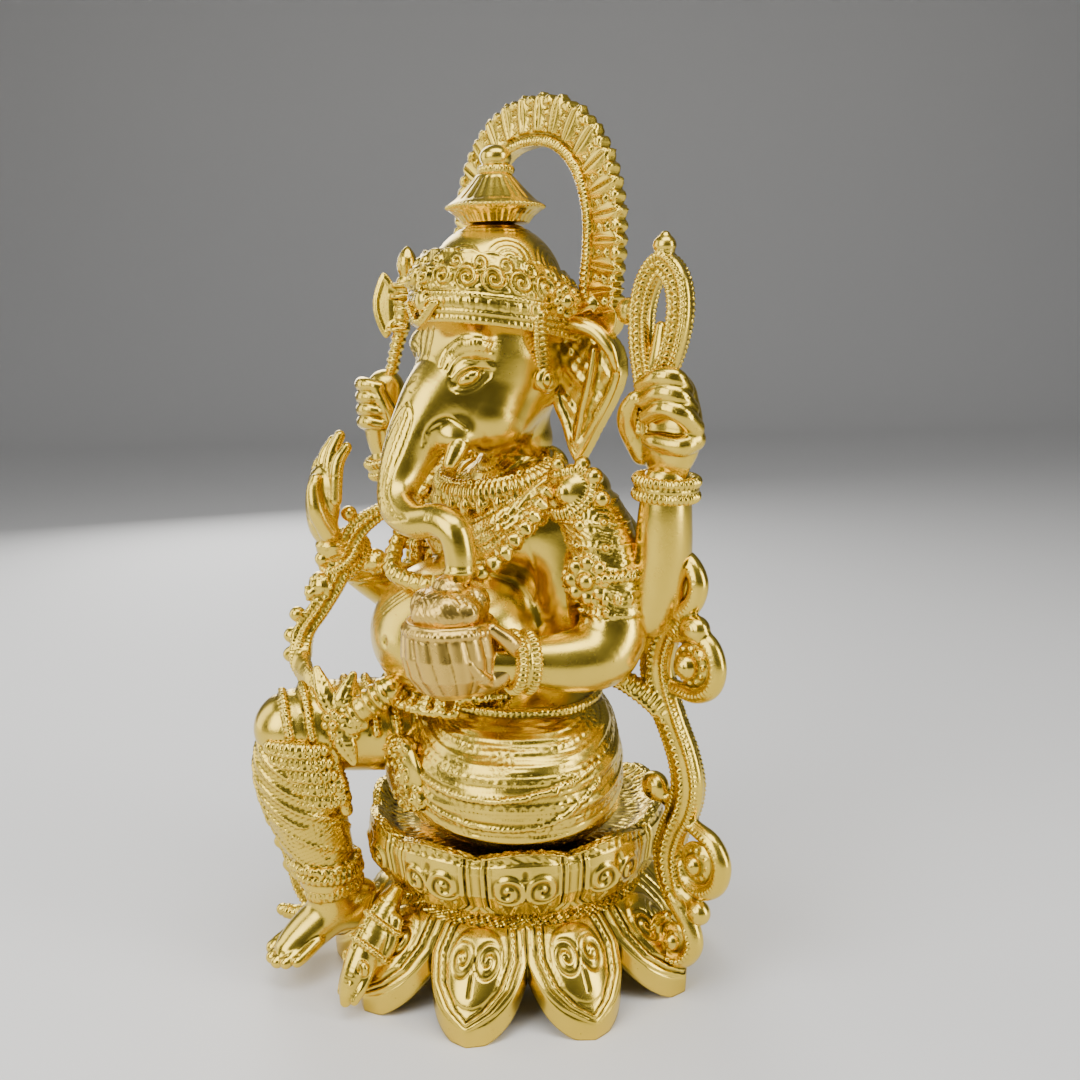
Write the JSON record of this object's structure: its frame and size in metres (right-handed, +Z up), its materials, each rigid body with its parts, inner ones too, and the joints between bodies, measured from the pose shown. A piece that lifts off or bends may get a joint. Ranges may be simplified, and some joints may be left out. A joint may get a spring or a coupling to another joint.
{
  "type": "deity statue",
  "caption": "Polished brass seated elephant-headed deity with raised and bowl-holding hands, arch behind the crown and side scrolls, on a hollow lotus pedestal.",
  "frame": {"origin": "middle of the bounding box's footprint, on the floor the petal tips stand on", "axes": "+Z up, the figure faces -Y, its left hand side is +X"},
  "size_m": [0.18, 0.169, 0.3377],
  "materials": {
    "brass": "polished cast brass with dark residue in the engraving",
    "rose": "polished cast brass, slightly redder alloy",
    "steel": "zinc-plated hexagon bolt and washer"
  },
  "bodies": {
    "root": {"lotus_skirt": "brass", "lotus_seat": "brass", "seat_washer": "steel", "seat_bolt": "steel", "lap": "brass", "right_thigh": "brass", "right_shin": "brass", "right_foot": "brass", "mouse": "brass", "torso": "brass", "head": "brass", "trunk": "brass", "tusk_left": "brass", "tusk_right": "brass", "crown_dome": "brass", "crown_band": "brass", "crown_brim": "brass", "crown_finial": "brass", "ear_left": "brass", "ear_right": "brass", "rosette_left": "brass", "rosette_right": "brass", "earring_left": "brass", "earring_right": "brass", "halo": "brass", "arm_lf_upper": "brass", "arm_lf_fore": "brass", "arm_lr_upper": "brass", "arm_lr_fore": "brass", "arm_rf_upper": "brass", "arm_rf_fore": "brass", "arm_rr_upper": "brass", "arm_rr_fore": "brass", "bowl": "rose", "sweets": "rose", "hand_lf": "rose", "noose": "brass", "hand_lr": "brass", "hand_rf": "brass", "axe": "brass", "hand_rr": "brass", "bangle_lf": "brass", "bangle_lr": "brass", "bangle_rf": "brass", "bangle_rr": "brass", "collar": "brass", "shoulder_ornament_left": "brass", "shoulder_ornament_right": "brass", "armlet_left": "brass", "armlet_right": "brass", "garland": "brass", "lap_ornament": "brass", "knee_pleats": "brass", "scroll_left": "brass", "vine_right": "brass", "scroll_right": "brass"}
  },
  "joints": []
}
